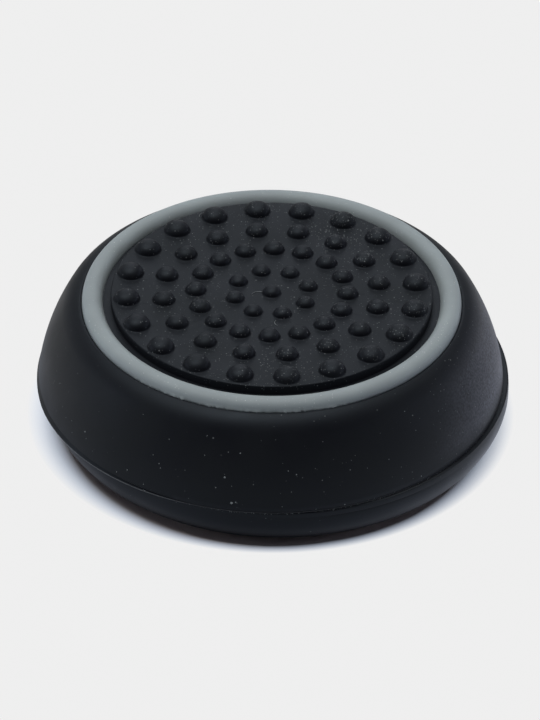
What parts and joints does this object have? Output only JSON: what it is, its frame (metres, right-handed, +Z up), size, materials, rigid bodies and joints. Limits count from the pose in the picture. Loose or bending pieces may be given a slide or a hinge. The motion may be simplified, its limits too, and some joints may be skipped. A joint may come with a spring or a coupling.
{
  "type": "controller thumb grip",
  "caption": "Round silicone cap for a controller's thumbstick: dished dotted pad, grey ring, tapered skirt and a hollow socket with an inward lip.",
  "frame": {"origin": "where the cap's own axis meets the surface that it stands on", "axes": "+Z up along the cap's axis, from the open socket towards the dotted pad; +X towards the side where the lower rim stands out"},
  "size_m": [0.0228, 0.0226, 0.0073],
  "materials": {
    "black_silicone": "matt moulded silicone with a faint sheen and dust",
    "grey_silicone": "satin moulded silicone"
  },
  "bodies": {
    "root": {"cap_body": "black_silicone", "accent_ring": "grey_silicone"}
  },
  "joints": []
}
